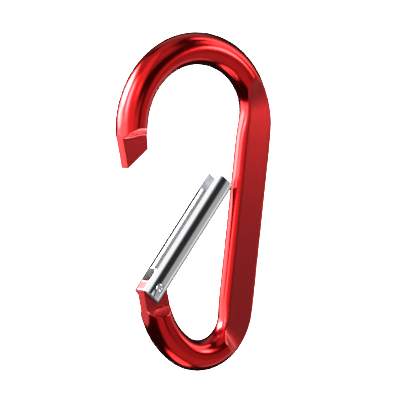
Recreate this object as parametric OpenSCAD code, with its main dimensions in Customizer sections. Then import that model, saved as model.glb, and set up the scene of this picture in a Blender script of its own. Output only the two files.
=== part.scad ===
// Snap carabiner: a round bar bent into an open D, with a solid-rod gate on a spring.
// X runs across the D with the spine on +X, Y through its thickness, Z up along it.
// The origin is the load seat, the highest point of the inside of the top bend.

/* [Bar] */
// Diameter of the round bar
bar_d = 7.8; // [7.6:0.1:8.0]
// Radius of the top bend, along the middle of the bar
top_bend_r = 18.6; // [18.2:0.1:19.0]
// Radius of the bend between the top bend and the spine
shoulder_bend_r = 16.2; // [15.8:0.1:16.6]
// Where the top bend hands over to the shoulder bend, above the horizontal
shoulder_start = 54; // [50:1:58]
// Radius of the bottom bend on the spine's side
heel_bend_r = 10.5; // [10.2:0.1:10.8]
// Radius of the bottom bend on the gate's side
tail_bend_r = 17.3; // [17.0:0.1:17.6]
// Where the heel bend hands over to the tail bend, below the horizontal
tail_start = 123.5; // [122:0.5:125]

/* [Spine] */
// Length of the straight spine
spine_len = 45; // [44:0.5:46]
// Lean of the spine away from the gate, from bottom to top
spine_lean = 7.5; // [7.0:0.5:8.0]
// Thickness across the two pressed flats
flat_t = 4.1; // [3.9:0.1:4.3]
// Width of the pressed spine, over its bulged sides
spine_w = 9.3; // [9.1:0.1:9.5]
// Radius of the bulged sides
bulge_r = 2.35; // [2.3:0.05:2.45]
// How far the flats run round the shoulder bend before they ramp out, above the horizontal
flat_top = 8; // [6:1:9]
// How far the flats run round the heel bend before they ramp out, below the horizontal
flat_bottom = 28; // [27:1:29]

/* [Nose and tail] */
// Thickness of the milled tongues that enter the gate's slots
tongue_t = 2.7; // [2.5:0.1:2.8]
// Lean of the nose's outer facet, inward at the bottom
nose_lean = 12.3; // [11.5:0.1:13]
// Lean of the tail, outward at the top
tail_lean = 12.7; // [12.3:0.1:13.1]
// Distance from the hinge pin down to the tail's shoulders
tail_shoulder = 4.75; // [4.6:0.05:4.9]

/* [Gate] */
// Diameter of the gate rod
gate_d = 6.4; // [6.2:0.1:6.5]
// Length of the gate rod
gate_len = 34.2; // [33.8:0.1:34.4]
// Distance from the hinge pin to the gate's lower end
gate_tail = 2.6; // [2.4:0.1:2.7]
// Width of the slots in both ends of the gate
slot_w = 3.3; // [3.2:0.05:3.4]
// Lean of the closed gate, outward at the top
closed_lean = 9.2; // [9.0:0.1:9.4]
// Angle that the gate has swung open from closed
gate_open = 48.5; // [46:0.5:49]

/* [Hinge and spring] */
// Diameter of the hinge rivet
rivet_d = 2.0; // [1.8:0.1:2.1]
// Diameter of the rivet's formed heads
rivet_head_d = 2.1; // [2.1:0.05:2.2]
// Diameter of the spring bore inside the gate
spring_bore_d = 2.8; // [2.7:0.05:2.9]
// Rise of the spring plunger for each radian that the gate opens
cam_rise = 1.0; // [0.9:0.05:1.1]

/* [Hidden] */
$fn = 96;

bar_r = bar_d / 2;
gate_r = gate_d / 2;
over = 8;

// Bend centres and joints, as [x, z] in the plane of the D
top_c = [0, -(top_bend_r - bar_r)];
shoulder_c = top_c + (top_bend_r - shoulder_bend_r) * dir(shoulder_start);
spine_top = shoulder_c + shoulder_bend_r * dir(-spine_lean);
spine_bottom = spine_top - spine_len * dir(90 - spine_lean);
heel_c = spine_bottom - heel_bend_r * dir(-spine_lean);
tail_c = heel_c + (tail_bend_r - heel_bend_r) * dir(180 - tail_start);
tail_end = tail_c + tail_bend_r * dir(180 + tail_lean);

// Hinge: along the tail's straight end, and a little inside its middle line
hinge_up = 4.57;
hinge_in = 0.26;
hinge = tail_end + hinge_up * dir(90 + tail_lean) + hinge_in * dir(tail_lean);

// Lengths of bar overlap where they join, each second one thinner by the seam
seam = 0.02;
lap = 1;
lap_run = 0.3;

// Pressed spine: where its bulged sides run, and the reach of the cut that flattens it
bulge_x = spine_w / 2 - bulge_r;
wide_top = 6;
wide_bottom = 26;
pad_reach = 6.5;
pad_rise = bar_r - flat_t / 2 + 0.1;
pad_ramp_top = [6.6, pad_rise];
pad_ramp_bottom = [4.5, pad_rise];

// Nose: a short straight end, and an outline across and down from its outer facet's start
nose_start = top_c - [top_bend_r + bar_r, 0];
nose_turn = nose_lean / 2;
nose_end = top_c + top_bend_r * dir(180 + nose_turn);
nose_run = 10;
nose_shoulder = 2.05;
nose_shoulder_tilt = 5.3;
nose_root = [7.07, -2.7];
nose_inner = [6.65, -5.75];
nose_tip = [0, -8.85];

// Tongue shoulders ramp out to the bar's surface: run along the bar, rise across it
tongue_ramp = [2.2, bar_r - tongue_t / 2 + 0.1];

// Tail: a straight end with an outer facet, chamfered, and a cam for the plunger
tail_run = 9;
tail_facet = 3.52;
tail_corner = -1.73;
cam_base = 2.1;
cam_step = 2;
cam_end = 52;

// Gate details, up from the hinge along the gate
gate_lean = gate_open - closed_lean;
lower_slot_top = 3.3;
upper_slot_depth = 5.1;
upper_slot_in = 1.0;
// The web between the fork's ears slants away from its slot, to clear the nose's tip when shut
upper_lead = 0.75;
nose_tip_slope = atan2(nose_inner[1] - nose_tip[1], nose_inner[0] - nose_tip[0]) + nose_lean - closed_lean;
spring_bore_end = 13.5;
end_chamfer = 0.15;

// Rivet details: seat and dimple are measured along the pin
rivet_slack = 0.05;
rivet_ring = 0.1;
rivet_seat = gate_r - 0.35;
rivet_dimple = [0.5, 0.15];

// Plunger: a flat head that bears on the tail's cam, and a stem inside the spring
plunger_head_r = spring_bore_d / 2 - 0.05;
plunger_head_len = 2.0;
plunger_stem_r = 0.7;
plunger_stem_len = 2.2;
cam_gap = 0.04;
plunger_face = cam_base + cam_rise * gate_open * PI / 180 + cam_gap;
spring_gap = 0.02;
spring_start = plunger_face + plunger_head_len + spring_gap;
spring_len = spring_bore_end - spring_gap - spring_start;
spring_out_r = 1.25;
spring_in_r = 0.85;

// A unit vector at an angle in the plane of the D
function dir(a) = [cos(a), sin(a)];

// A point of the cam: where the plunger's flat face touches it at one gate angle
function cam_point(a) =
    let (h = cam_base + cam_rise * a * PI / 180)
    h * dir(90 - a) + cam_rise * dir(-a);

// Places children at a point in the plane of the D, turned clockwise by an angle
module at(p, turn = 0) {
    translate([p[0], 0, p[1]]) rotate([0, turn, 0]) children();
}

// Extrudes an outline drawn in the plane of the D, centred on the plane
module in_plane(t) {
    rotate([90, 0, 0]) linear_extrude(t, center = true) children();
}

// Sweeps a section round a bend centre, between two angles above the horizontal
module bend(c, r, from, to) {
    at(c) rotate([90, 0, 0]) rotate([0, 0, from])
        rotate_extrude(angle = to - from) translate([r, 0]) children();
}

// Cuts away both sides of the bar outside a thickness, from a ramp at the local origin down
module side_cut(t, ramp, length) {
    outline = [[t / 2, 0], [t / 2 + ramp[1], ramp[0]], [over, ramp[0]], [over, -length], [t / 2, -length]];
    for (side = [0, 1]) mirror([0, side, 0])
        rotate([90, 0, 90]) linear_extrude(2 * over, center = true) polygon(outline);
}

// The bar as bent, before it is pressed and milled
module bent_bar() {
    thin_r = bar_r - seam;
    at(nose_end, -nose_turn) translate([0, 0, -nose_run]) cylinder(nose_run, r = bar_r);
    bend(top_c, top_bend_r, shoulder_start - lap, 180 + nose_turn + lap) circle(thin_r);
    bend(shoulder_c, shoulder_bend_r, -spine_lean, shoulder_start) circle(bar_r);
    at(spine_bottom, spine_lean) translate([0, 0, -lap_run]) cylinder(spine_len + 2 * lap_run, r = thin_r);
    bend(heel_c, heel_bend_r, -tail_start, -spine_lean) circle(bar_r);
    bend(tail_c, tail_bend_r, -180 + tail_lean - lap, -tail_start + lap) circle(thin_r);
    at(tail_end, -tail_lean) cylinder(tail_run, r = bar_r);
}

// The sides of the spine, squeezed out by the press, with round ends in the bends
module bulges() {
    for (x = [-bulge_x, bulge_x]) {
        thin_r = bulge_r - seam;
        at(shoulder_c + (shoulder_bend_r + x) * dir(wide_top)) sphere(bulge_r);
        bend(shoulder_c, shoulder_bend_r + x, -spine_lean - lap, wide_top) circle(thin_r);
        at(spine_bottom, spine_lean) translate([x, 0, 0]) cylinder(spine_len, r = bulge_r);
        bend(heel_c, heel_bend_r + x, -wide_bottom, -spine_lean + lap) circle(thin_r);
        at(heel_c + (heel_bend_r + x) * dir(-wide_bottom)) sphere(bulge_r);
    }
}

// The pressed flats, which run on into both bends and end in ramps
module pad_cut() {
    top = dir(flat_top);
    bottom = dir(-flat_bottom);
    side = pad_reach * dir(-spine_lean);
    for (face = [0, 1]) mirror([0, face, 0]) translate([0, -flat_t / 2, 0])
        rotate([90, 0, 0]) linear_extrude(over) polygon([
            shoulder_c + (shoulder_bend_r - pad_reach) * top, shoulder_c + (shoulder_bend_r + pad_reach) * top,
            spine_top + 2 * side, spine_bottom + 2 * side,
            heel_c + (heel_bend_r + pad_reach) * bottom, heel_c + (heel_bend_r - pad_reach) * bottom
        ]);
    at(shoulder_c + shoulder_bend_r * top, -flat_top) side_cut(flat_t, pad_ramp_top, 0.5);
    at(heel_c + heel_bend_r * bottom, flat_bottom) mirror([0, 0, 1]) side_cut(flat_t, pad_ramp_bottom, 0.5);
}

// The nose: an outer facet, a thin tongue under ramped shoulders, and a slanted tip
module nose_cut() {
    at(nose_start, -nose_lean) {
        in_plane(2 * over) polygon([
            [-over, 1], [0, 1], nose_tip, nose_inner, nose_root,
            [over + 4, nose_root[1]], [over + 4, -2 * over], [-over, -2 * over]
        ]);
        translate([0, 0, -nose_shoulder]) rotate([0, nose_shoulder_tilt, 0])
            side_cut(tongue_t, tongue_ramp, 2 * over);
    }
}

// The tail: an outer facet, a thin tongue over ramped shoulders, a cam end and the hinge bore
module tail_cut() {
    cam = [for (a = [0:cam_step:cam_end]) cam_point(a)];
    at(hinge, -tail_lean) {
        translate([-tail_facet - over, -over, -2 * over]) cube([over, 2 * over, 3 * over]);
        translate([0, 0, -tail_shoulder]) mirror([0, 0, 1]) side_cut(tongue_t, tongue_ramp, 2 * over);
    }
    at(hinge, -closed_lean) in_plane(2 * over) polygon(concat(
        [[tail_corner - over, cam_base - over], [tail_corner, cam_base]],
        cam,
        [cam_point(cam_end) + over * dir(-cam_end), [over, over], [tail_corner - over, over]]
    ));
    at(hinge) rotate([90, 0, 0]) cylinder(2 * over, r = rivet_d / 2 + rivet_slack, center = true);
}

module hook_frame() {
    color([0.80, 0.05, 0.06]) difference() {
        union() {
            bent_bar();
            bulges();
        }
        pad_cut();
        nose_cut();
        tail_cut();
    }
}

// A rod that stands on the local origin, with a small chamfer round each end
module chamfered_rod(r, length, c) {
    rotate_extrude() polygon([[0, 0], [r - c, 0], [r, c], [r, length - c], [r - c, length], [0, length]]);
}

module gate_rod() {
    top = gate_len - gate_tail;
    color([0.82, 0.83, 0.85]) at(hinge, gate_lean) difference() {
        translate([0, 0, -gate_tail]) chamfered_rod(gate_r, gate_len, end_chamfer);
        translate([-over, -slot_w / 2, -over]) cube([2 * over, slot_w, over + lower_slot_top]);
        translate([-over, -slot_w / 2, top - upper_slot_depth]) cube([over + upper_slot_in, slot_w, over]);
        translate([upper_slot_in, -slot_w / 2, top - upper_lead])
            rotate([0, -nose_tip_slope, 0]) translate([-over, 0, 0]) cube([2 * over, slot_w, over]);
        cylinder(spring_bore_end, r = spring_bore_d / 2);
        rotate([90, 0, 0]) {
            cylinder(2 * over, r = rivet_d / 2, center = true);
            for (side = [0, 1]) mirror([0, 0, side])
                translate([0, 0, rivet_seat]) cylinder(over, r = rivet_head_d / 2 + rivet_ring);
        }
    }
}

module hinge_rivet() {
    color([0.75, 0.76, 0.78]) at(hinge, gate_lean) rotate([90, 0, 0]) difference() {
        union() {
            cylinder(2 * rivet_seat, r = rivet_d / 2, center = true);
            for (side = [0, 1]) mirror([0, 0, side])
                translate([0, 0, rivet_seat]) cylinder(gate_r - rivet_seat, r = rivet_head_d / 2);
        }
        for (side = [0, 1]) mirror([0, 0, side])
            translate([0, 0, gate_r - rivet_dimple[1]]) cylinder(over, r = rivet_dimple[0]);
    }
}

module gate_spring() {
    color([0.60, 0.61, 0.63]) at(hinge, gate_lean) translate([0, 0, spring_start]) difference() {
        cylinder(spring_len, r = spring_out_r);
        translate([0, 0, -1]) cylinder(spring_len + 2, r = spring_in_r);
    }
}

module spring_plunger() {
    color([0.70, 0.62, 0.40]) at(hinge, gate_lean) translate([0, 0, plunger_face]) {
        chamfered_rod(plunger_head_r, plunger_head_len, end_chamfer);
        cylinder(plunger_head_len + plunger_stem_len, r = plunger_stem_r);
    }
}

hook_frame();
gate_rod();
hinge_rivet();
gate_spring();
spring_plunger();
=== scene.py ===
"""Looks for the snap carabiner: a polished red body, a bright gate, its rivet, spring and plunger."""

import math

import bmesh
import bpy
import numpy as np
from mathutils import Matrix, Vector


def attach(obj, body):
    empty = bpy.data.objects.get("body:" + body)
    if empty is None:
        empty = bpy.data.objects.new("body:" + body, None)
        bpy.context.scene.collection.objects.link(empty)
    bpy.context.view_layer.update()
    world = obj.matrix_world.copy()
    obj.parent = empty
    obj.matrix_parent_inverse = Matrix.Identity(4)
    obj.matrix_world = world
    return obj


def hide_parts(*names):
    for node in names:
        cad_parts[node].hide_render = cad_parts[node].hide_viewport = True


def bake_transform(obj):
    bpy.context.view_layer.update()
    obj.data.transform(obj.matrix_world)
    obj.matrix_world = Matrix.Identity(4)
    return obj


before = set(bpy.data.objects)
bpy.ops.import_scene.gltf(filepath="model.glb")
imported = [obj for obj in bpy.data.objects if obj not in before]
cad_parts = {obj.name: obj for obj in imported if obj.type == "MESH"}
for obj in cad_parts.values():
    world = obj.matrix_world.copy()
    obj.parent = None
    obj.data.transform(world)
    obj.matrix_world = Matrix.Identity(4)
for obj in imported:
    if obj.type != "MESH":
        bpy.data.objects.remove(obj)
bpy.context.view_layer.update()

MM = 0.001
TAU = 2 * math.pi


# ---------------------------------------------------------------- sizes, in mm and degrees, as in the CAD

BAR_R = 3.9
TOP_R, SHOULDER_R, HEEL_R, TAIL_R = 18.6, 16.2, 10.5, 17.3
SHOULDER_START, TAIL_START, SPINE_LEAN, SPINE_LEN = 54, -123.5, 7.5, 45
NOSE_LEAN, NOSE_TURN, TAIL_LEAN, CLOSED_LEAN = 12.3, 6.15, 12.7, 9.2
GATE_OPEN = 48.5
GATE_LEAN = GATE_OPEN - CLOSED_LEAN
HINGE_UP, HINGE_IN = 4.57, 0.26
FLAT_HALF, TONGUE_HALF = 2.05, 1.35


def direction(a):
    """A unit vector in the plane of the D, at an angle above +X."""
    return np.array([math.cos(math.radians(a)), math.sin(math.radians(a))])


TOP_C = np.array([0.0, -(TOP_R - BAR_R)])
SHOULDER_C = TOP_C + (TOP_R - SHOULDER_R) * direction(SHOULDER_START)
SPINE_TOP = SHOULDER_C + SHOULDER_R * direction(-SPINE_LEAN)
SPINE_BOTTOM = SPINE_TOP - SPINE_LEN * direction(90 - SPINE_LEAN)
HEEL_C = SPINE_BOTTOM - HEEL_R * direction(-SPINE_LEAN)
TAIL_C = HEEL_C + (TAIL_R - HEEL_R) * direction(180 + TAIL_START)
TAIL_END = TAIL_C + TAIL_R * direction(180 + TAIL_LEAN)
NOSE_END = TOP_C + TOP_R * direction(180 + NOSE_TURN)
NOSE_START = TOP_C - np.array([TOP_R + BAR_R, 0])
HINGE = TAIL_END + HINGE_UP * direction(90 + TAIL_LEAN) + HINGE_IN * direction(TAIL_LEAN)


def local(p, origin, turn):
    """Coordinates of points in a frame of the D's plane, turned clockwise by an angle."""
    v, t = p - origin, math.radians(turn)
    x, z, c, s = v[..., 0], v[..., 1], math.cos(t), math.sin(t)
    return x * c - z * s, x * s + z * c


def smooth_max(a, b, k):
    h = np.maximum(k - np.abs(a - b), 0) / k
    return np.maximum(a, b) + h * h * k / 4


def smooth_min(a, b, k):
    return -smooth_max(-a, -b, k)


def smooth_step(x, low, high):
    t = np.clip((x - low) / (high - low), 0, 1)
    return t * t * (3 - 2 * t)


# ---------------------------------------------------------------- the bar's middle line, from nose to tail

ARCS = [
    (TOP_C, TOP_R, 180 + NOSE_TURN, SHOULDER_START),
    (SHOULDER_C, SHOULDER_R, SHOULDER_START, -SPINE_LEAN),
    None,
    (HEEL_C, HEEL_R, -SPINE_LEAN, TAIL_START),
    (TAIL_C, TAIL_R, TAIL_START, -180 + TAIL_LEAN),
]
LENGTHS = [SPINE_LEN if a is None else a[1] * math.radians(a[2] - a[3]) for a in ARCS]
STARTS = np.concatenate([[0], np.cumsum(LENGTHS)])
SPINE_AT, HEEL_AT = STARTS[2:4]
END_AT = STARTS[5]


def along(s):
    """Point of the middle line, and the outward angle there, at a length past the nose's straight end."""
    for start, length, arc in zip(STARTS, LENGTHS, ARCS):
        if start <= s <= start + length:
            if arc is None:
                return SPINE_TOP - (s - start) * direction(90 - SPINE_LEAN), -SPINE_LEAN
            a = arc[2] - math.degrees((s - start) / arc[1])
            return arc[0] + arc[1] * direction(a), a
    if s < 0:
        return NOSE_END + s * direction(90 + NOSE_TURN), 180 + NOSE_TURN
    return TAIL_END + (s - END_AT) * direction(90 + TAIL_LEAN), -180 + TAIL_LEAN


def bend_at(arc, angle):
    """Length along the middle line where an arc reaches an outward angle."""
    return STARTS[arc] + ARCS[arc][1] * math.radians(ARCS[arc][2] - angle)


# Radius of the bar: drawn thinner at the neck, and a little slimmer at the nose and round the bottom bend
NECK_AT, NECK_THIN, NECK_LEN = bend_at(1, 27), 0.4, 11.0
NOSE_THIN, BOTTOM_THIN = 0.08, 0.2

# Flats: full depth between these lengths, and their run-outs to the round surface
PAD_TOP, PAD_BOTTOM = bend_at(1, 5), bend_at(3, -25)
PAD_RUN_TOP, PAD_RUN_BOTTOM = 8.9, 5.9
PAD_CURVE = 2.6
BULGE_X, BULGE_R = 2.3, 2.35
PAD_EDGE = 0.42

# Where the squeezed sides swell out of the round bar, and where they sink back into it
SWELL = (SPINE_AT - 8.5, SPINE_AT + 5, HEEL_AT - 4, HEEL_AT + 6)


def bar_radius(s):
    neck = NECK_THIN * np.exp(-(((s - NECK_AT) / NECK_LEN) ** 2))
    nose = NOSE_THIN * (1 - smooth_step(s, 14, 30))
    return BAR_R - neck - nose - BOTTOM_THIN * smooth_step(s, HEEL_AT - 4, HEEL_AT + 12)


def pad_half(s):
    """Half the thickness between the flats; more than the bar's radius where there are none."""
    rise = BAR_R - FLAT_HALF + 0.15
    up = np.clip((PAD_TOP - s) / PAD_RUN_TOP, 0, 2) ** PAD_CURVE
    down = np.clip((s - PAD_BOTTOM) / PAD_RUN_BOTTOM, 0, 2) ** PAD_CURVE
    return FLAT_HALF + rise * (up + down)


def bar_distance(s, x, y):
    """How far a point is outside the bar, whose sides the press has squeezed out."""
    r = bar_radius(s)
    press = smooth_step(s, *SWELL[:2]) * (1 - smooth_step(s, *SWELL[2:]))
    side = BULGE_X * press
    return np.hypot(np.maximum(np.abs(x) - side, 0), y) - (r + (BULGE_R - r) * press)


def spine_shape(s, x, y):
    pad = y - pad_half(s)
    bar = bar_distance(s, x, y)
    return smooth_max(bar, pad, PAD_EDGE), pad - bar


# ---------------------------------------------------------------- nose and tail, milled

# Rounding of the milled edges, and of the rims of the two end faces
EDGE, CAP_EDGE = 0.16, 0.14
RAMP_RUN, RAMP_RISE = 2.2, BAR_R - TONGUE_HALF + 0.1
RAMP_SLOPE = RAMP_RISE / RAMP_RUN
NOSE_TIP, NOSE_INNER, NOSE_ROOT = np.array([0, -8.85]), np.array([6.65, -5.75]), np.array([7.07, -2.7])
NOSE_SHOULDER, NOSE_SHOULDER_TILT = 2.05, 5.3
TAIL_FACET, TAIL_SHOULDER, TAIL_CORNER = 3.52, 4.75, -1.73
CAM_BASE, CAM_RISE, CAM_END = 2.1, 1.0, 52


def line_distance(x, z, a, b):
    """Signed distance to the line from a to b, positive on its right."""
    d = (b - a) / np.hypot(*(b - a))
    return (x - a[0]) * d[1] - (z - a[1]) * d[0]


def tongue_distance(y, past):
    """Outside the tongue and its ramps; past is the length from the shoulder towards the bar."""
    ramp = (y - TONGUE_HALF - RAMP_SLOPE * past) / math.hypot(1, RAMP_SLOPE)
    return smooth_min(y - TONGUE_HALF, ramp, EDGE)


def nose_shape(p, y):
    s, off = local(p, NOSE_END, -NOSE_TURN)[::-1]
    off = -off
    v = p - TOP_C
    turn = (np.degrees(np.arctan2(v[..., 1], v[..., 0])) + 360) % 360
    round_part = s > 0
    off = np.where(round_part, np.hypot(v[..., 0], v[..., 1]) - TOP_R, off)
    s = np.where(round_part, TOP_R * np.radians(180 + NOSE_TURN - turn), s)
    bar = bar_distance(s, off, y)
    x, z = local(p, NOSE_START, -NOSE_LEAN)
    inner = line_distance(x, z, NOSE_INNER, NOSE_ROOT)
    step = smooth_min(inner, NOSE_ROOT[1] - z, EDGE)
    deep = local(np.stack([x, z], -1), np.array([0, -NOSE_SHOULDER]), NOSE_SHOULDER_TILT)[1]
    cuts = smooth_max(smooth_max(-x, step, EDGE), tongue_distance(y, deep), EDGE)
    return smooth_max(bar, cuts, EDGE), cuts - bar


def tail_shape(p, y):
    s, off = local(p, TAIL_END, -TAIL_LEAN)[::-1]
    off = -off
    v = p - TAIL_C
    turn = np.degrees(np.arctan2(v[..., 1], v[..., 0])) % -360
    round_part = s < 0
    off = np.where(round_part, np.hypot(v[..., 0], v[..., 1]) - TAIL_R, off)
    s = np.where(round_part, END_AT + TAIL_R * np.radians(-180 + TAIL_LEAN - turn), END_AT + s)
    bar = bar_distance(s, off, y)
    x, z = local(p, HINGE, -TAIL_LEAN)
    cuts = smooth_max(-TAIL_FACET - x, tongue_distance(y, -(z + TAIL_SHOULDER)), EDGE)
    cx, cz = local(p, HINGE, -CLOSED_LEAN)
    cuts = smooth_max(cuts, (cz - CAM_BASE - cx + TAIL_CORNER) / math.sqrt(2), EDGE)
    for a in np.radians(np.arange(4, CAM_END + 1, 4)):
        cuts = np.maximum(cuts, cx * math.sin(a) + cz * math.cos(a) - CAM_BASE - CAM_RISE * a)
    return smooth_max(bar, cuts, EDGE), cuts - bar


# ---------------------------------------------------------------- rings round the middle line

# Rays cast in a half ring, steps kept of them, how far they reach, and how much a corner draws steps
RAYS, RING, REACH, CORNER_WEIGHT = 601, 112, 6.5, 0.9
HALVINGS = 22
CAP_RINGS = (0.86, 0.6, 0.3)


def tilt_at(s):
    """Angle that a ring's plane is turned, so that the last rings lie along the end faces."""
    nose = (NOSE_FACE - 180 - NOSE_TURN) * (1 - smooth_step(s, NOSE_LAST, NOSE_LAST + 6.5))
    return nose + (CLOSED_LEAN - TAIL_LEAN) * smooth_step(s, TAIL_LAST - 6, TAIL_LAST)


def ring_points(stations):
    """Resampled half rings: place in the D's plane, depth, and how far each point is on a cut face."""
    phi = np.linspace(0, math.pi, RAYS)
    centre, outward = zip(*(along(s) for s in stations))
    centre = np.array(centre)
    axis = np.array([direction(a + tilt_at(s)) for a, s in zip(outward, stations)])
    s = np.array(stations)[:, None] + 0 * phi

    def shape(r):
        x, y = r * np.cos(phi), r * np.sin(phi)
        p = centre[:, None, :] + x[..., None] * axis[:, None, :]
        value, cut = spine_shape(s, x, y)
        for group, make in ((stations < NOSE_GROUP, nose_shape), (stations > TAIL_GROUP, tail_shape)):
            if group.any():
                value[group], cut[group] = make(p[group], y[group])
        return value, cut

    low, high = np.zeros_like(s), np.full_like(s, REACH)
    for _ in range(HALVINGS):
        middle = (low + high) / 2
        outside = shape(middle)[0] > 0
        low, high = np.where(outside, low, middle), np.where(outside, middle, high)
    r = (low + high) / 2
    cut = shape(r)[1]
    x, y = r * np.cos(phi), r * np.sin(phi)
    out = []
    for i in range(len(stations)):
        dx, dy = np.diff(x[i]), np.diff(y[i])
        step = np.hypot(dx, dy)
        heading = np.unwrap(np.arctan2(dy, dx))
        turn = np.concatenate([[0], np.abs(np.diff(heading))])
        measure = np.concatenate([[0], np.cumsum(step + CORNER_WEIGHT * turn)])
        at = np.linspace(0, measure[-1], RING + 1)
        out.append([np.interp(at, measure, q) for q in (x[i], y[i], cut[i])])
    out = np.array(out)
    return centre, axis, out[:, 0], out[:, 1], out[:, 2]


# The angle of the nose's end face, and the lengths at which the last rings reach the two end faces
NOSE_FACE = 180 + math.degrees(math.atan2(*(NOSE_INNER - NOSE_TIP)[::-1])) + NOSE_LEAN
_x0, _z0 = local(NOSE_END, NOSE_START, -NOSE_LEAN)
_dx, _dz = local(NOSE_END - direction(90 + NOSE_TURN), NOSE_START, -NOSE_LEAN)
_near, _next = (line_distance(a, b, NOSE_INNER, NOSE_TIP) for a, b in ((_x0, _z0), (_dx, _dz)))
NOSE_LAST = -(_near + CAP_EDGE) / (_near - _next)
_c0 = local(TAIL_END, HINGE, -CLOSED_LEAN)[1]
_c1 = local(TAIL_END + direction(90 + TAIL_LEAN), HINGE, -CLOSED_LEAN)[1]
TAIL_LAST = END_AT + (CAM_BASE - CAP_EDGE - _c0) / (_c1 - _c0)
NOSE_GROUP, TAIL_GROUP = 6.0, END_AT - 4.0


# ---------------------------------------------------------------- meshes

def new_object(name, mesh, material):
    made = bpy.data.objects.new(name, mesh)
    bpy.context.scene.collection.objects.link(made)
    mesh.materials.append(material)
    return made


def ring_mesh(name, points, marks, closed_ends):
    """A tube of quads through rings of points, capped at both ends by shrinking rings."""
    rings, count = points.shape[:2]
    verts = points.reshape(-1, 3)
    i = np.arange(rings - 1)[:, None] * count
    j = np.arange(count)[None, :]
    k = (j + 1) % count
    faces = np.stack([i + j, i + k, i + count + k, i + count + j], -1).reshape(-1, 4).tolist()
    if closed_ends:
        for ring, flip in ((0, 1), (rings - 1, -1)):
            faces.append([ring * count + n for n in range(count)][::-flip])
    mesh = bpy.data.meshes.new(name)
    mesh.from_pydata((verts * MM).tolist(), [], faces)
    mesh.validate()
    built = bmesh.new()
    built.from_mesh(mesh)
    bmesh.ops.recalc_face_normals(built, faces=built.faces)
    built.to_mesh(mesh)
    built.free()
    for mark, values in marks.items():
        layer = mesh.attributes.new(mark, "FLOAT", "POINT")
        layer.data.foreach_set("value", values.reshape(-1).astype(np.float32))
    mesh.polygons.foreach_set("use_smooth", [True] * len(mesh.polygons))
    return mesh


def station_list():
    """Ring places: close together where the bar is milled or pressed out, wider on plain bends."""
    pressed, released = PAD_TOP - PAD_RUN_TOP - 2, PAD_BOTTOM + PAD_RUN_BOTTOM + 1.5
    stops = [NOSE_LAST, 5.5, pressed, PAD_TOP, PAD_BOTTOM, released, END_AT - 4.5, TAIL_LAST]
    steps = [0.11, 0.42, 0.2, 0.5, 0.18, 0.42, 0.11]
    out = []
    for a, b, step in zip(stops, stops[1:], steps):
        out.append(np.linspace(a, b, max(2, round((b - a) / step) + 1))[:-1])
    return np.concatenate(out + [[TAIL_LAST]])


def body_mesh():
    stations = station_list()
    centre, axis, x, y, cut = ring_points(stations)
    full_x = np.concatenate([x, x[:, -2:0:-1]], 1)
    full_y = np.concatenate([-y, y[:, -2:0:-1]], 1)
    marks = np.concatenate([cut, cut[:, -2:0:-1]], 1)
    marks = smooth_step(marks, -0.02, 0.06)
    milled = ((stations < NOSE_GROUP) | (stations > TAIL_GROUP))[:, None]
    rings, extra = [], []
    for end, step in ((0, -1), (-1, 1)):
        base_x, base_y = full_x[end], full_y[end]
        here = along(stations[end])[1]
        out_dir = step * direction(here + tilt_at(stations[end]) - 90)
        run_x, run_y = (np.roll(v, -1) - np.roll(v, 1) for v in (base_x, base_y))
        normal = np.stack([run_y, -run_x], -1)
        normal /= np.linalg.norm(normal, axis=1)[:, None]
        if (normal * np.stack([base_x, base_y], -1)).sum() < 0:
            normal = -normal
        made = []
        for turn in (22.5, 45, 67.5, 90):
            shrink = CAP_EDGE * (1 - math.cos(math.radians(turn)))
            made.append((base_x - shrink * normal[:, 0], base_y - shrink * normal[:, 1],
                         CAP_EDGE * math.sin(math.radians(turn))))
        flat_x, flat_y = made[-1][:2]
        for scale in CAP_RINGS:
            made.append((flat_x * scale, flat_y * scale, CAP_EDGE))
        extra.append([(mx, my, out_dir * rise) for mx, my, rise in made])
    points = []

    def ring(i, rx, ry, shift):
        p = centre[i] + rx[:, None] * axis[i] + shift
        points.append(np.stack([p[:, 0], ry, p[:, 1]], -1))

    for rx, ry, shift in extra[0][::-1]:
        ring(0, rx, ry, shift)
    for i in range(len(stations)):
        ring(i, full_x[i], full_y[i], 0)
    for rx, ry, shift in extra[1]:
        ring(-1, rx, ry, shift)
    ends = np.ones((len(extra[0]), full_x.shape[1]))
    layers = {"satin": np.concatenate([0 * ends, np.where(milled, 0, marks), 0 * ends]),
              "tooled": np.concatenate([ends, np.where(milled, marks, 0), ends])}
    return ring_mesh("body", np.array(points), layers, True)


# ---------------------------------------------------------------- materials

def shader_of(name, color, metallic, rough, **sockets):
    """A new material; every number that is the same all over goes on the shader's own socket."""
    material = bpy.data.materials.new(name)
    material.use_nodes = True
    shader = material.node_tree.nodes["Principled BSDF"]
    shader.inputs["Base Color"].default_value = (*color, 1)
    shader.inputs["Metallic"].default_value = metallic
    shader.inputs["Roughness"].default_value = rough
    for socket, value in sockets.items():
        shader.inputs[socket.replace("_", " ")].default_value = value
    return material, material.node_tree.nodes, material.node_tree.links, shader


def noise(nodes, links, scale, detail=3.0, stretch=(1, 1, 1), turn=0.0):
    """Noise in the object's own coordinates, with its grain stretched along axes turned about Y."""
    place, mapping = nodes.new("ShaderNodeTexCoord"), nodes.new("ShaderNodeMapping")
    mapping.vector_type = "TEXTURE"
    mapping.inputs["Scale"].default_value = [1 / v for v in stretch]
    mapping.inputs["Rotation"].default_value = (0, math.radians(turn), 0)
    links.new(place.outputs["Object"], mapping.inputs["Vector"])
    grain = nodes.new("ShaderNodeTexNoise")
    grain.inputs["Scale"].default_value = scale
    grain.inputs["Detail"].default_value = detail
    links.new(mapping.outputs[0], grain.inputs["Vector"])
    return grain.outputs["Fac"]


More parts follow.
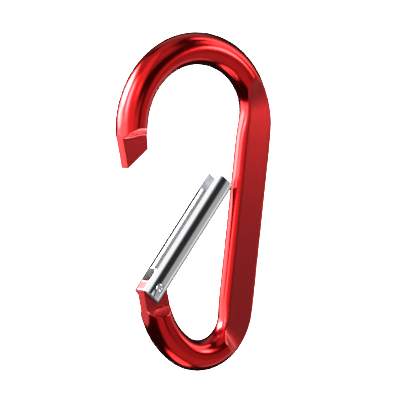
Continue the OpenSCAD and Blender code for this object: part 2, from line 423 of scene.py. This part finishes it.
def ramp(nodes, links, source, low, high, a=0.0, b=1.0):
    """Maps a value from one range to another."""
    made = nodes.new("ShaderNodeMapRange")
    for socket, value in zip(("From Min", "From Max", "To Min", "To Max"), (low, high, a, b)):
        made.inputs[socket].default_value = value
    links.new(source, made.inputs["Value"])
    return made.outputs[0]


def blend_numbers(nodes, links, share, a, b):
    """Mixes two values, each a number or a node's output."""
    made = nodes.new("ShaderNodeMix")
    links.new(share, made.inputs[0])
    for socket, value in ((made.inputs[2], a), (made.inputs[3], b)):
        if isinstance(value, (int, float)):
            socket.default_value = value
        else:
            links.new(value, socket)
    return made.outputs[0]


def blend_colors(nodes, links, share, a, b):
    """Mixes two colours, each three numbers or a node's output."""
    made = nodes.new("ShaderNodeMix")
    made.data_type = "RGBA"
    links.new(share, made.inputs[0])
    for socket, value in ((made.inputs[6], a), (made.inputs[7], b)):
        if isinstance(value, tuple):
            socket.default_value = (*value, 1)
        else:
            links.new(value, socket)
    return made.outputs[2]


def bumped(nodes, links, shader, height, strength, depth):
    bump = nodes.new("ShaderNodeBump")
    bump.inputs["Distance"].default_value = depth
    if isinstance(strength, (int, float)):
        bump.inputs["Strength"].default_value = strength
    else:
        links.new(strength, bump.inputs["Strength"])
    links.new(height, bump.inputs["Height"])
    links.new(bump.outputs[0], shader.inputs["Normal"])


def anodised():
    """Red anodised aluminium: polished on the round bar, satin on the pressed flats, tooled where milled."""
    made, nodes, links, shader = shader_of(
        "anodised_red", (0.68, 0.003, 0.004), 1, 0.16, Coat_Weight=0.3, Coat_Roughness=0.14)
    satin, tooled = nodes.new("ShaderNodeAttribute"), nodes.new("ShaderNodeAttribute")
    satin.attribute_name, tooled.attribute_name = "satin", "tooled"
    satin, tooled = satin.outputs["Fac"], tooled.outputs["Fac"]
    tint = noise(nodes, links, 260, 2)
    grain = noise(nodes, links, 5200, 2)
    lines = noise(nodes, links, 2600, 2, (0.12, 1, 1))
    tints = ((0.68, 0.003, 0.004), (0.6, 0.002, 0.003))
    specks = ((0.42, 0.014, 0.016), (0.31, 0.009, 0.01))
    scores = ((0.6, 0.02, 0.024), (0.44, 0.01, 0.013))
    polished = blend_colors(nodes, links, ramp(nodes, links, tint, 0.35, 0.65), *tints)
    speck = blend_colors(nodes, links, ramp(nodes, links, grain, 0.3, 0.7), *specks)
    color = blend_colors(nodes, links, satin, polished, speck)
    scored = blend_colors(nodes, links, ramp(nodes, links, lines, 0.35, 0.65), *scores)
    links.new(blend_colors(nodes, links, tooled, color, scored), shader.inputs["Base Color"])
    gloss = ramp(nodes, links, tint, 0.3, 0.7, 0.15, 0.19)
    dull = ramp(nodes, links, grain, 0.3, 0.7, 0.32, 0.4)
    cut = ramp(nodes, links, lines, 0.3, 0.7, 0.2, 0.28)
    rough = blend_numbers(nodes, links, satin, gloss, dull)
    links.new(blend_numbers(nodes, links, tooled, rough, cut), shader.inputs["Roughness"])
    height = blend_numbers(nodes, links, tooled, grain, lines)
    strength = blend_numbers(nodes, links, satin, 0.006, 0.2)
    bumped(nodes, links, shader, height, blend_numbers(nodes, links, tooled, strength, 0.06), 0.00002)
    return made


def bright_metal(name, light, dark, low, high, scale, stretch, bump):
    """Bare metal with fine drawn lines in its colour, gloss and surface."""
    made, nodes, links, shader = shader_of(name, light, 1, low)
    lines = noise(nodes, links, scale, 3, stretch, GATE_LEAN)
    color = blend_colors(nodes, links, ramp(nodes, links, lines, 0.3, 0.7), light, dark)
    links.new(color, shader.inputs["Base Color"])
    links.new(ramp(nodes, links, lines, 0.3, 0.7, low, high), shader.inputs["Roughness"])
    bumped(nodes, links, shader, lines, bump, 0.00002)
    return made


def pale_floor():
    """White paper lit evenly, so that the object leaves no shadow on it."""
    made, nodes, links, shader = shader_of("pale_floor", (0.97, 0.97, 0.97), 0, 0.9, Emission_Strength=1.0)
    fibre = noise(nodes, links, 40, 2)
    tone = blend_colors(nodes, links, fibre, (0.965, 0.965, 0.965), (1.0, 1.0, 1.0))
    links.new(tone, shader.inputs["Emission Color"])
    return made


def smooth_by_angle(piece, degrees):
    mesh = piece.data
    mesh.polygons.foreach_set("use_smooth", [True] * len(mesh.polygons))
    mesh.set_sharp_from_angle(angle=math.radians(degrees))
    weighted = piece.modifiers.new("weighted", "WEIGHTED_NORMAL")
    weighted.keep_sharp = True
    return piece


# ---------------------------------------------------------------- the gate and what is in it

GATE_R, GATE_LEN, GATE_TAIL, SLOT_HALF = 3.2, 34.2, 2.6, 1.65
LOWER_SLOT_TOP, UPPER_SLOT_DEPTH, UPPER_SLOT_IN, UPPER_LEAD = 3.3, 5.1, 1.0, 0.75
BORE_R, BORE_END = 1.4, 13.5
RIVET_R, RIVET_HEAD_R, RIVET_HOLE_R, RIVET_SEAT = 1.0, 1.05, 1.15, 2.85
PLUNGER_FACE = CAM_BASE + CAM_RISE * math.radians(GATE_OPEN) + 0.04
SPRING_START, SPRING_END = PLUNGER_FACE + 2.02, BORE_END - 0.02
GATE_EDGE = 0.13
# Faces nearer to the gate's axis than this were cut by the mill
MILLED_R = 2.9


def gate_place(points):
    """Points of the gate's own frame, x across, y through and z up it, in metres in the model's frame."""
    t = math.radians(GATE_LEAN)
    x = points[:, 0] * math.cos(t) + points[:, 2] * math.sin(t) + HINGE[0]
    z = points[:, 2] * math.cos(t) - points[:, 0] * math.sin(t) + HINGE[1]
    return np.stack([x, points[:, 1], z], 1) * MM


def arc_points(start, end, steps):
    a = np.radians(np.linspace(start, end, steps + 1))
    return [(GATE_R * math.cos(t), GATE_R * math.sin(t)) for t in a]


def gate_mesh():
    """The rod as stacked sections that share their rim: two ears, the full round, and a fork with a web."""
    bottom, top = -GATE_TAIL, GATE_LEN - GATE_TAIL
    slot = math.degrees(math.asin(SLOT_HALF / GATE_R))
    ear, gap = 56, 24
    sides = [(slot, 180 - slot, ear), (180 - slot, 180 + slot, gap),
             (180 + slot, 360 - slot, ear), (-slot, slot, gap)]
    arcs = [arc_points(*side) for side in sides]
    built = bmesh.new()
    cache = {}

    def vert(x, y, z):
        key = (round(x, 4), round(y, 4), round(z, 4))
        if key not in cache:
            cache[key] = built.verts.new((x, y, z))
        return cache[key]

    def wall(line, low, high, close=False):
        pairs = list(zip(line, line[1:] + ([line[0]] if close else [])))
        if not close:
            pairs = pairs[:len(line) - 1]
        for (ax, ay), (bx, by) in pairs:
            built.faces.new([vert(ax, ay, low), vert(bx, by, low), vert(bx, by, high), vert(ax, ay, high)])

    def plate(line, z):
        built.faces.new([vert(x, y, z) for x, y in line])

    floor, step = LOWER_SLOT_TOP, top - UPPER_SLOT_DEPTH
    ears = [arcs[0], arcs[2]]
    rim = arcs[0][:-1] + arcs[1][:-1] + arcs[2][:-1] + arcs[3][:-1]
    for ear in ears:
        wall(ear, bottom, floor)
        wall([ear[-1], ear[0]], bottom, floor)
        plate(ear, bottom)
    plate(arcs[1][:-1] + [arcs[2][0]] + [arcs[3][0]] + arcs[3][1:], floor)
    wall(rim, floor, step, close=True)
    web = [(UPPER_SLOT_IN, SLOT_HALF), (UPPER_SLOT_IN, -SLOT_HALF)]
    outer = arcs[2] + arcs[3][1:-1] + arcs[0]
    wall(outer, step, top)
    lip, slope = top - UPPER_LEAD, math.radians(NOSE_FACE - 180 - CLOSED_LEAN)
    lead = [(UPPER_SLOT_IN + UPPER_LEAD / math.tan(slope), y) for _, y in web]
    for end, low, high in ((outer[-1], web[0], lead[0]), (outer[0], web[1], lead[1])):
        built.faces.new([vert(*end, step), vert(*low, step), vert(*low, lip), vert(*end, top)])
        built.faces.new([vert(*low, lip), vert(*high, top), vert(*end, top)])
    wall(web, step, lip)
    built.faces.new([vert(*web[0], lip), vert(*web[1], lip), vert(*lead[1], top), vert(*lead[0], top)])
    for part in (arcs[0] + lead[:1], arcs[2] + lead[1:], arcs[3] + lead):
        plate(part, top)
    plate(arcs[1] + web[::-1], step)
    bmesh.ops.recalc_face_normals(built, faces=built.faces)
    sharp = [e for e in built.edges if e.is_manifold and e.calc_face_angle(0) > math.radians(40)]
    bmesh.ops.bevel(built, geom=sharp, offset=GATE_EDGE, segments=2, profile=0.5, affect="EDGES",
                    clamp_overlap=True)
    mesh = bpy.data.meshes.new("gate")
    built.to_mesh(mesh)
    built.free()
    return mesh


def lathe(name, profile, steps=64):
    """A closed turned shape from (radius, height) points, round the local Z axis, in mm."""
    built = bmesh.new()
    rings = []
    for r, h in profile:
        if r < 1e-6:
            rings.append([built.verts.new((0, 0, h))] * steps)
        else:
            rings.append([built.verts.new((r * math.cos(TAU * i / steps), r * math.sin(TAU * i / steps), h))
                          for i in range(steps)])
    for a, b in zip(rings, rings[1:]):
        for i in range(steps):
            j = (i + 1) % steps
            corners = [a[i], a[j], b[j], b[i]]
            built.faces.new([v for n, v in enumerate(corners) if v not in corners[:n]])
    bmesh.ops.recalc_face_normals(built, faces=built.faces)
    mesh = bpy.data.meshes.new(name)
    built.to_mesh(mesh)
    built.free()
    return mesh


def points_of(mesh):
    co = np.zeros(len(mesh.vertices) * 3, np.float32)
    mesh.vertices.foreach_get("co", co)
    return co.reshape(-1, 3).astype(float)


def set_points(mesh, points):
    mesh.vertices.foreach_set("co", points.astype(np.float32).ravel())
    mesh.update()


def rod_cutter(radius, low, high, along_y):
    """A round cutter in the gate's own frame, along the rod or along the hinge pin."""
    mesh = lathe("cutter", [(0, low), (radius, low), (radius, high), (0, high)], 48)
    points = points_of(mesh)
    if along_y:
        points = points[:, [0, 2, 1]] * np.array([1, 1, -1])
    set_points(mesh, points)
    cutter = bpy.data.objects.new("cutter", mesh)
    bpy.context.scene.collection.objects.link(cutter)
    return cutter


def carve(piece, cutters):
    """Takes the cutters away from a piece for good."""
    for cutter in cutters:
        modifier = piece.modifiers.new("carve", "BOOLEAN")
        modifier.operation, modifier.solver, modifier.object = "DIFFERENCE", "EXACT", cutter
    depsgraph = bpy.context.evaluated_depsgraph_get()
    mesh = bpy.data.meshes.new_from_object(piece.evaluated_get(depsgraph))
    piece.modifiers.clear()
    piece.data = mesh
    for cutter in cutters:
        bpy.data.objects.remove(cutter)


def spring_mesh():
    """An open coil of round wire whose end turns lie close and flat."""
    wire, coil, turns, steps, sides = 0.2, 1.05, 9, 40, 10
    low, high = SPRING_START + wire, SPRING_END - wire
    share = np.linspace(0, 1, turns * steps + 1)
    one_turn, one_wire = 1 / turns, 2 * wire / (high - low)
    lift = np.interp(share, [0, one_turn, 1 - one_turn, 1], [0, one_wire, 1 - one_wire, 1])
    turn = TAU * turns * share
    centre = np.stack([coil * np.cos(turn), coil * np.sin(turn), low + (high - low) * lift], 1)
    radial = np.stack([np.cos(turn), np.sin(turn), 0 * turn], 1)
    forward = np.gradient(centre, axis=0)
    forward /= np.linalg.norm(forward, axis=1)[:, None]
    upward = np.cross(forward, radial)
    ring = TAU * np.arange(sides) / sides
    across = np.cos(ring)[:, None] * radial[:, None] + np.sin(ring)[:, None] * upward[:, None]
    points = centre[:, None] + wire * across
    flat = gate_place(points.reshape(-1, 3)).reshape(points.shape) / MM
    return ring_mesh("spring", flat, {}, True)


# ---------------------------------------------------------------- pieces

red = anodised()
gate_metal = bright_metal(
    "gate_bright", (0.86, 0.87, 0.88), (0.78, 0.79, 0.81), 0.09, 0.13, 900, (1, 1, 0.03), 0.03)
milled_metal = bright_metal(
    "gate_milled", (0.46, 0.47, 0.49), (0.34, 0.35, 0.36), 0.42, 0.55, 3200, (1, 1, 0.2), 0.08)
rivet_metal = bright_metal(
    "rivet_bright", (0.8, 0.8, 0.82), (0.62, 0.62, 0.65), 0.14, 0.24, 2500, (1, 1, 1), 0.1)
spring_metal = bright_metal(
    "spring_wire", (0.6, 0.61, 0.63), (0.48, 0.49, 0.5), 0.22, 0.34, 3000, (1, 1, 0.3), 0.1)
brass = bright_metal(
    "plunger_turned", (0.32, 0.25, 0.13), (0.22, 0.17, 0.09), 0.3, 0.42, 2200, (1, 1, 0.2), 0.1)

body = new_object("body", body_mesh(), red)
pin_hole = rod_cutter(RIVET_R + 0.05, -6, 6, True)
set_points(pin_hole.data, points_of(pin_hole.data) * MM + np.array([HINGE[0], 0, HINGE[1]]) * MM)
carve(body, [pin_hole])
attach(body, "frame")
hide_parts("hook_frame")
body.visible_glossy = False

gate = new_object("gate_rod_polished", gate_mesh(), gate_metal)
carve(gate, [rod_cutter(BORE_R, -4, BORE_END, False), rod_cutter(RIVET_R + 0.01, -5, 5, True),
             rod_cutter(RIVET_HOLE_R, RIVET_SEAT, 5, True), rod_cutter(RIVET_HOLE_R, -5, -RIVET_SEAT, True)])
gate.data.materials.clear()
gate.data.materials.append(gate_metal)
gate.data.materials.append(milled_metal)
for face in gate.data.polygons:
    face.material_index = int(math.hypot(face.center[0], face.center[1]) < MILLED_R)
set_points(gate.data, gate_place(points_of(gate.data)))
smooth_by_angle(gate, 50)
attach(gate, "gate")
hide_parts("gate_rod")

# The rivet's dimpled head: distances from its axis, and heights over the gate's side
HEAD = [(0, -0.22), (0.34, -0.22), (0.46, -0.17), (0.54, -0.05),
        (0.62, 0.0), (0.86, 0.0), (0.98, -0.05), (1.05, -0.16)]
half = [(r, GATE_R + h) for r, h in HEAD] + [(RIVET_HEAD_R, RIVET_SEAT + 0.02), (RIVET_R, RIVET_SEAT)]
rivet = new_object("rivet", lathe("rivet", half + [(r, -h) for r, h in half[::-1]], 72), rivet_metal)
set_points(rivet.data, gate_place(points_of(rivet.data)[:, [0, 2, 1]] * np.array([1, -1, 1])))
smooth_by_angle(rivet, 55)
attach(rivet, "gate")
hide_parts("hinge_rivet")

spring = new_object("spring", spring_mesh(), spring_metal)
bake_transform(spring)
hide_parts("gate_spring")

stem = [(0, 0), (1.15, 0), (1.27, 0.04), (1.35, 0.15), (1.35, 1.85), (1.27, 1.97), (0.82, 2.0), (0.72, 2.05),
        (0.7, 2.15), (0.7, 4.05), (0.62, 4.17), (0, 4.2)]
plunger = new_object("plunger", lathe("plunger", [(r, h + PLUNGER_FACE) for r, h in stem], 48), brass)
set_points(plunger.data, gate_place(points_of(plunger.data)))
smooth_by_angle(plunger, 50)
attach(plunger, "plunger")
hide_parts("spring_plunger")


# ---------------------------------------------------------------- camera, floor and lights

VIEW_AZIMUTH, VIEW_ELEVATION = -37, 4
VIEW_DISTANCE, FRAME_HEIGHT = 0.9, 0.09424
VIEW_CENTRE = Vector((0.001397, 0.000142, -0.03184))
FLOOR_HALF, FLOOR_Z = 30, -0.0735


def sphere_point(azimuth, elevation, distance):
    a, e = math.radians(azimuth), math.radians(elevation)
    return Vector((math.sin(a) * math.cos(e), -math.cos(a) * math.cos(e), math.sin(e))) * distance


camera = bpy.data.objects.new("camera", bpy.data.cameras.new("camera"))
bpy.context.scene.collection.objects.link(camera)
back = sphere_point(VIEW_AZIMUTH, VIEW_ELEVATION, VIEW_DISTANCE)
camera.location = VIEW_CENTRE + back
camera.rotation_mode = "QUATERNION"
camera.rotation_quaternion = (-back).to_track_quat("-Z", "Y")
camera.data.lens = camera.data.sensor_width * VIEW_DISTANCE / FRAME_HEIGHT
camera.data.clip_start, camera.data.clip_end = 0.05, 200
bpy.context.scene.camera = camera

floor_mesh = bpy.data.meshes.new("floor")
corners = [(-1, -1), (1, -1), (1, 1), (-1, 1)]
floor_mesh.from_pydata([(FLOOR_HALF * x, FLOOR_HALF * y, FLOOR_Z) for x, y in corners], [], [(0, 1, 2, 3)])
floor = new_object("floor", floor_mesh, pale_floor())
floor.visible_glossy = False
bpy.context.scene.view_settings.view_transform = "Standard"


# Studio light as the metal sees it, in soft patches: name, first and last azimuth, first and last
# elevation, width of the soft edge, all in degrees, and strength
PATCHES = [
    ("left_low", -150, -66, -16, 8, 8, 8),
    ("left", -160, -70, 4, 43, 5, 13),
    ("left_hot", -154, -114, 19, 43, 8, 90),
    ("left_gap", -160, -70, 38, 66, 6, 0.22),
    ("left_hot_edge", -94, -78, 14, 46, 7, 40),
    ("left_high", -150, -62, 60, 84, 7, 0.55),
    ("left_front", -76, -20, -22, 80, 9, 1.15),
    ("front_spot", -44, -28, 24, 36, 7, 4.5),
    ("front", -18, 26, 38, 74, 10, 0.6),
    ("front_low", -26, 8, -24, 10, 7, 0.85),
    ("key", 48, 58, 16, 36, 8, 6),
    ("key_side", 66, 88, -62, 62, 7, 0.95),
    ("side_line", 64, 72, 12, 58, 4, 8),
    ("low_front", -34, 62, -66, -20, 9, 0.6),
    ("low_right", 20, 110, -28, 4, 6, 0.42),
    ("back", 95, 175, 42, 72, 10, 0.45),
    ("floor_glow", -180, 180, -120, -74, 5, 3.0),
    ("overhead", -180, 180, 74, 120, 8, 0.6),
]

# A dark flag in front of the left light, with how much of it is let through
FLAG = (-112, -100, 8, 50, 6, 0.12)
BASE_LIGHT = 0.02


def math_node(nodes, links, operation, a, b=None):
    made = nodes.new("ShaderNodeMath")
    made.operation = operation
    for socket, value in zip(made.inputs, (a, b)):
        if isinstance(value, (int, float)):
            socket.default_value = value
        elif value is not None:
            links.new(value, socket)
    return made.outputs[0]


def soft_edge(nodes, links, source, low, high, a=0.0, b=1.0):
    out = ramp(nodes, links, source, low, high, a, b)
    out.node.interpolation_type = "SMOOTHSTEP"
    return out


def soft_box(nodes, links, source, low, high, soft):
    """1 between low and high, fading to 0 over soft degrees on each side."""
    up = soft_edge(nodes, links, source, low - soft, low + soft)
    down = soft_edge(nodes, links, source, high - soft, high + soft, 1.0, 0.0)
    return math_node(nodes, links, "MULTIPLY", up, down)


def studio_world():
    world = bpy.data.worlds.new("studio")
    bpy.context.scene.world = world
    world.use_nodes = True
    nodes, links = world.node_tree.nodes, world.node_tree.links
    nodes.clear()
    place, parts = nodes.new("ShaderNodeTexCoord"), nodes.new("ShaderNodeSeparateXYZ")
    links.new(place.outputs["Generated"], parts.inputs[0])
    x, y, z = parts.outputs
    turn = math_node(nodes, links, "ARCTAN2", x, math_node(nodes, links, "MULTIPLY", y, -1.0))
    azimuth = math_node(nodes, links, "MULTIPLY", turn, 360 / TAU)
    elevation = math_node(nodes, links, "MULTIPLY", math_node(nodes, links, "ARCSINE", z), 360 / TAU)
    light = BASE_LIGHT
    a0, a1, e0, e1, soft, share = FLAG
    flag = math_node(nodes, links, "MULTIPLY", soft_box(nodes, links, elevation, e0, e1, soft),
                     soft_box(nodes, links, azimuth, a0, a1, soft))
    passed = ramp(nodes, links, flag, 0, 1, 1.0, share)
    for name, a0, a1, e0, e1, soft, value in PATCHES:
        patch = soft_box(nodes, links, elevation, e0, e1, soft)
        if a1 - a0 < 360:
            patch = math_node(nodes, links, "MULTIPLY", patch, soft_box(nodes, links, azimuth, a0, a1, soft))
        if name.startswith("left"):
            patch = math_node(nodes, links, "MULTIPLY", patch, passed)
        light = math_node(nodes, links, "MAXIMUM", light, math_node(nodes, links, "MULTIPLY", patch, value))
    ray = nodes.new("ShaderNodeLightPath")
    studio, out = nodes.new("ShaderNodeBackground"), nodes.new("ShaderNodeOutputWorld")
    studio.inputs["Color"].default_value = (1, 1, 1, 1)
    strength = blend_numbers(nodes, links, ray.outputs["Is Camera Ray"], light, 1.0)
    links.new(strength, studio.inputs["Strength"])
    links.new(studio.outputs[0], out.inputs["Surface"])


def softbox(name, azimuth, elevation, distance, width, height, radiance):
    """An oval light that faces the object; its size is in degrees as the object sees it."""
    data = bpy.data.lights.new(name, "AREA")
    data.shape = "ELLIPSE"
    data.size = 2 * distance * math.tan(math.radians(width / 2))
    data.size_y = 2 * distance * math.tan(math.radians(height / 2))
    data.energy = radiance * math.pi * data.size * data.size_y
    made = bpy.data.objects.new(name, data)
    bpy.context.scene.collection.objects.link(made)
    away = sphere_point(azimuth, elevation, distance)
    made.location = VIEW_CENTRE + away
    made.rotation_mode = "QUATERNION"
    made.rotation_quaternion = away.to_track_quat("Z", "Y")
    made.visible_camera = False
    return made


studio_world()
softbox("light_left", -127, 14, 0.16, 34, 18, 14)
softbox("light_key", 43, 15, 0.2, 12, 14, 16)
